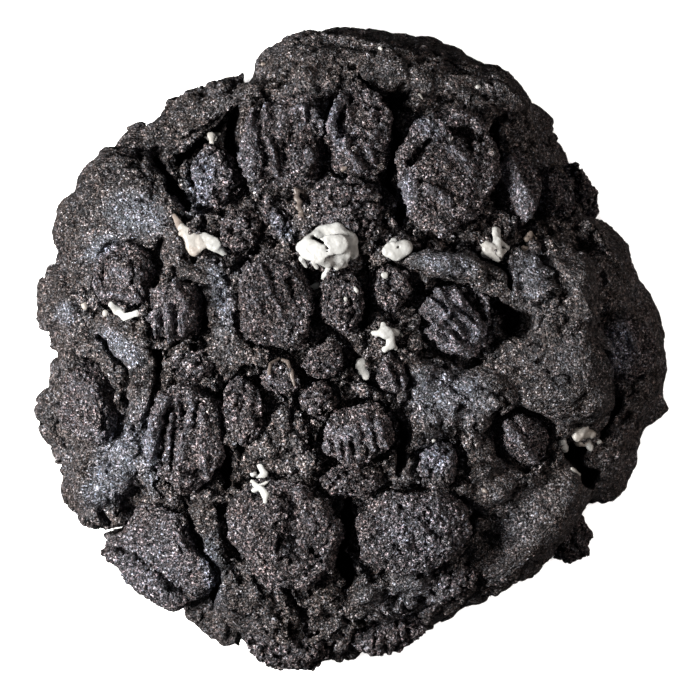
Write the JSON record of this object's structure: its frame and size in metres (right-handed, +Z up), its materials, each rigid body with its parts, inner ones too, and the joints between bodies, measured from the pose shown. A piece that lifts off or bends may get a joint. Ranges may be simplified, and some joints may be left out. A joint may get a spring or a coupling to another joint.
{
  "type": "black cocoa cookie with sandwich wafer pieces",
  "caption": "Thick round drop cookie of black cocoa dough, domed and cracked, loaded with broken ribbed wafer pieces and smears of white filling.",
  "frame": {"origin": "middle of the flat underside, at the centre of the cookie's outline", "axes": "+Z up out of the dome, +Y away from the viewer who looks down on the cookie, +X to that viewer's right"},
  "size_m": [0.0878, 0.0884, 0.0283],
  "materials": {
    "dough": "baked black cocoa dough, smooth on its lobes and crumbly between them",
    "wafer": "dry, sandy, near-black wafer crumb",
    "filling": "smooth, slightly waxy white filling"
  },
  "bodies": {
    "root": {"cookie_dough": "dough", "filling_main": "filling", "filling_small": "filling", "filling_streak": "filling", "filling_star": "filling", "filling_drop": "filling", "filling_upper_right": "filling", "filling_right": "filling", "filling_crescent": "filling", "filling_twist": "filling", "wafer_ribbed_top": "wafer", "wafer_oval_top": "wafer", "wafer_rough_top": "wafer", "wafer_sliver_top_right": "wafer", "wafer_ringed_left": "wafer", "wafer_ribbed_left": "wafer", "wafer_lined_right": "wafer", "wafer_flat_lower_left": "wafer", "wafer_dome_bottom": "wafer", "wafer_rough_bottom": "wafer", "wafer_ribbed_lower_left": "wafer", "wafer_smooth_left": "wafer", "wafer_ribbed_middle": "wafer", "wafer_sunken_right": "wafer", "wafer_rough_middle": "wafer", "wafer_under_filling": "wafer", "wafer_small_centre": "wafer", "wafer_upright_centre": "wafer", "wafer_round_centre": "wafer", "wafer_round_low_centre": "wafer", "wafer_ring_centre": "wafer", "wafer_lump_middle": "wafer", "wafer_upright_left": "wafer", "wafer_lump_left": "wafer", "wafer_blue_lump": "wafer", "wafer_wedge_top_left": "wafer", "wafer_crumbly_left": "wafer", "wafer_strip_top": "wafer", "wafer_lumps_top": "wafer", "wafer_right_wall": "wafer", "wafer_upper_right_inner": "wafer", "wafer_upper_right_rim": "wafer", "wafer_bottom_rim": "wafer", "wafer_ribbed_bottom_rim": "wafer", "wafer_rough_bottom_right": "wafer", "wafer_lower_right_rim": "wafer"}
  },
  "joints": []
}
